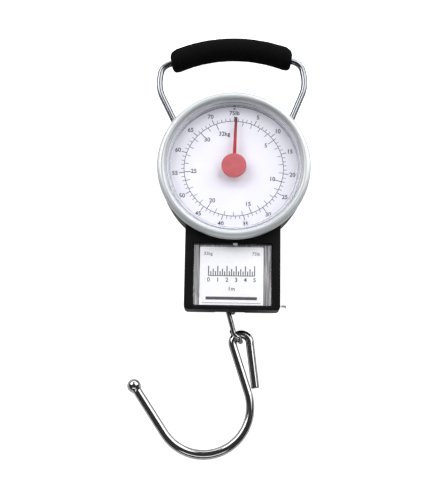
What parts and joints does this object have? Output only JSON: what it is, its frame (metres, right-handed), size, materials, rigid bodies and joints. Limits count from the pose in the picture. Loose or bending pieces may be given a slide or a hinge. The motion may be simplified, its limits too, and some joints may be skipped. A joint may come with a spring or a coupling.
{
  "type": "mechanical dial hanging scale",
  "caption": "Hand-held dial scale for weighing fish: round case, foam-covered wire handle, tape measure in the lower body, and a wire hook on a link.",
  "frame": {"origin": "middle of the dial, on the flat back of the case", "axes": "+Z out of the dial's face, +Y towards the handle, -Y towards the hook, +X to the dial's right, where the tape comes out"},
  "size_m": [0.0904, 0.2203, 0.0285],
  "materials": {
    "black_plastic": "moulded, glossy",
    "silver_paint": "silver paint on moulded plastic",
    "clear_plastic": "clear, polished",
    "dial_white": "printed white",
    "needle_red": "moulded, satin",
    "hub_red": "moulded, satin",
    "zinc_steel": "zinc plated",
    "spring_steel": "drawn wire",
    "brass": "machined",
    "chrome_wire": "bright plated",
    "chrome_hook": "bright plated",
    "black_foam": "fine-celled foam",
    "grey_plastic": "moulded",
    "tape_white": "coated tape",
    "white_card": "printed card"
  },
  "bodies": {
    "case": {"back_cover": "black_plastic", "front_housing": "black_plastic", "case_screw_1": "zinc_steel", "case_screw_2": "zinc_steel", "case_screw_3": "zinc_steel", "case_screw_4": "zinc_steel", "hanger_plate": "zinc_steel", "main_spring_left": "spring_steel", "main_spring_right": "spring_steel", "bridge_plate": "zinc_steel", "bridge_screw_1": "zinc_steel", "bridge_screw_2": "zinc_steel", "spindle_bush": "brass", "handle_wire": "chrome_wire", "grip": "black_foam", "tape_tray": "grey_plastic", "reel_spring": "spring_steel", "tape_lid": "black_plastic", "label_card": "white_card", "tape_window": "clear_plastic"},
    "zero_ring": {"bezel_ring": "silver_paint", "lens": "clear_plastic", "dial_plate": "dial_white"},
    "pointer": {"spindle": "zinc_steel", "pinion": "brass", "pointer_hub": "hub_red", "needle": "needle_red"},
    "draw": {"draw_bar": "zinc_steel", "rack": "zinc_steel", "rack_screw_1": "zinc_steel", "rack_screw_2": "zinc_steel"},
    "link": {"link": "chrome_wire"},
    "hook": {"hook": "chrome_hook"},
    "reel": {"tape_reel": "grey_plastic", "tape_coil": "tape_white"},
    "tape": {"tape_blade": "tape_white", "tape_tab": "zinc_steel"}
  },
  "joints": [
    {"name": "load_slide", "type": "slide", "parent": "case", "child": "draw", "axis": [0, -1, 0], "range_m": [0, 0.01884], "stiffness_N_per_m": 16650, "deforming": ["main_spring_left", "main_spring_right"]},
    {"name": "pointer_turn", "type": "hinge", "parent": "case", "child": "pointer", "pos_m": [0, 0, 0.0197], "axis": [0, 0, 1], "range_deg": [-360, 0]},
    {"name": "zero_turn", "type": "hinge", "parent": "case", "child": "zero_ring", "pos_m": [0, 0, 0.0197], "axis": [0, 0, 1], "range_deg": [-15, 15]},
    {"name": "link_swing", "type": "hinge", "parent": "draw", "child": "link", "pos_m": [-0.0015, -0.0672, 0.0074], "axis": [0, 0, 1], "range_deg": [-30, 10]},
    {"name": "hook_swing", "type": "hinge", "parent": "link", "child": "hook", "pos_m": [0.0051, -0.0869, 0.0049], "axis": [0, 0, 1], "range_deg": [-30, 30]},
    {"name": "tape_pull", "type": "slide", "parent": "case", "child": "tape", "axis": [1, 0, 0], "range_m": [0, 1], "stiffness_N_per_m": 1, "springref_m": -1, "deforming": ["tape_blade"]},
    {"name": "reel_spin", "type": "hinge", "parent": "case", "child": "reel", "pos_m": [0, -0.0572, 0.0146], "axis": [0, 0, 1], "range_deg": [0, 5630]}
  ],
  "couplings": [
    {"joint": "pointer_turn", "follows": "load_slide", "rad_per_m": -333.33},
    {"joint": "reel_spin", "follows": "tape_pull", "rad_per_m": 98.04}
  ]
}
